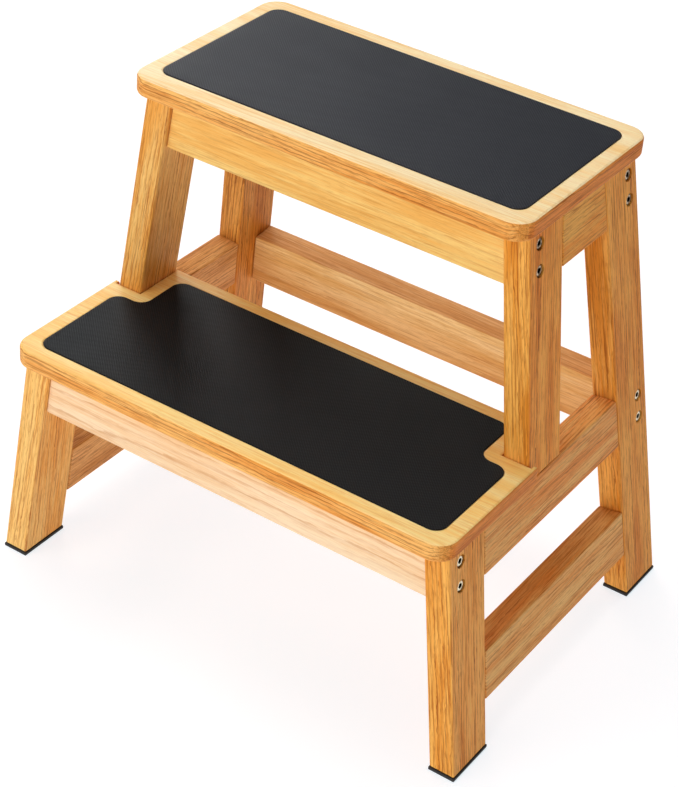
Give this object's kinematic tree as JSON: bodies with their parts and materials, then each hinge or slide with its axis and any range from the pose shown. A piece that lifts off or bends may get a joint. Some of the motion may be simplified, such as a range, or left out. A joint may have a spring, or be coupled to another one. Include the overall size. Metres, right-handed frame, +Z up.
{
  "type": "step stool",
  "caption": "Rigid wooden step stool: splayed side frames, bolted cross boards, a top tread and a notched lower tread with inlaid anti-slip mats, on rubber feet.",
  "frame": {"origin": "on the floor, under the middle of the stool's bounding box", "axes": "+Z up; the front, where one steps up, faces -Y; +X is to the right of someone who stands in front of the stool and faces its steps"},
  "size_m": [0.4238, 0.3226, 0.4005],
  "materials": {
    "top_tread_wood": "satin varnish, pale",
    "lower_tread_wood": "satin varnish, golden",
    "leg_wood": "satin varnish, honey",
    "rail_wood": "satin varnish, honey brown",
    "cross_wood": "satin varnish, light honey",
    "mat_rubber": "fine raised diamond texture",
    "pad_rubber": "matt",
    "bolt_steel": "zinc plated",
    "nut_steel": "zinc plated",
    "screw_steel": "zinc plated"
  },
  "bodies": {
    "root": {"top_tread": "top_tread_wood", "lower_tread": "lower_tread_wood", "top_mat": "mat_rubber", "lower_mat": "mat_rubber", "front_leg_left": "leg_wood", "middle_leg_left": "leg_wood", "rear_leg_left": "leg_wood", "top_side_rail_left": "rail_wood", "lower_side_rail_left": "rail_wood", "bottom_stretcher_left": "rail_wood", "foot_pad_front_left": "pad_rubber", "foot_pad_rear_left": "pad_rubber", "front_leg_right": "leg_wood", "middle_leg_right": "leg_wood", "rear_leg_right": "leg_wood", "top_side_rail_right": "rail_wood", "lower_side_rail_right": "rail_wood", "bottom_stretcher_right": "rail_wood", "foot_pad_front_right": "pad_rubber", "foot_pad_rear_right": "pad_rubber", "top_front_apron": "cross_wood", "bolt_top_front_apron_left_upper": "bolt_steel", "barrel_nut_top_front_apron_left_upper": "nut_steel", "bolt_top_front_apron_left_lower": "bolt_steel", "barrel_nut_top_front_apron_left_lower": "nut_steel", "bolt_top_front_apron_right_upper": "bolt_steel", "barrel_nut_top_front_apron_right_upper": "nut_steel", "bolt_top_front_apron_right_lower": "bolt_steel", "barrel_nut_top_front_apron_right_lower": "nut_steel", "lower_front_apron": "cross_wood", "bolt_lower_front_apron_left_upper": "bolt_steel", "barrel_nut_lower_front_apron_left_upper": "nut_steel", "bolt_lower_front_apron_left_lower": "bolt_steel", "barrel_nut_lower_front_apron_left_lower": "nut_steel", "bolt_lower_front_apron_right_upper": "bolt_steel", "barrel_nut_lower_front_apron_right_upper": "nut_steel", "bolt_lower_front_apron_right_lower": "bolt_steel", "barrel_nut_lower_front_apron_right_lower": "nut_steel", "top_rear_apron": "cross_wood", "bolt_top_rear_apron_left_upper": "bolt_steel", "barrel_nut_top_rear_apron_left_upper": "nut_steel", "bolt_top_rear_apron_left_lower": "bolt_steel", "barrel_nut_top_rear_apron_left_lower": "nut_steel", "bolt_top_rear_apron_right_upper": "bolt_steel", "barrel_nut_top_rear_apron_right_upper": "nut_steel", "bolt_top_rear_apron_right_lower": "bolt_steel", "barrel_nut_top_rear_apron_right_lower": "nut_steel", "rear_stretcher": "cross_wood", "bolt_rear_stretcher_left_upper": "bolt_steel", "barrel_nut_rear_stretcher_left_upper": "nut_steel", "bolt_rear_stretcher_left_lower": "bolt_steel", "barrel_nut_rear_stretcher_left_lower": "nut_steel", "bolt_rear_stretcher_right_upper": "bolt_steel", "barrel_nut_rear_stretcher_right_upper": "nut_steel", "bolt_rear_stretcher_right_lower": "bolt_steel", "barrel_nut_rear_stretcher_right_lower": "nut_steel", "tread_screw_top_left": "screw_steel", "tread_screw_top_right": "screw_steel", "tread_screw_lower_left": "screw_steel", "tread_screw_lower_right": "screw_steel"}
  },
  "joints": []
}
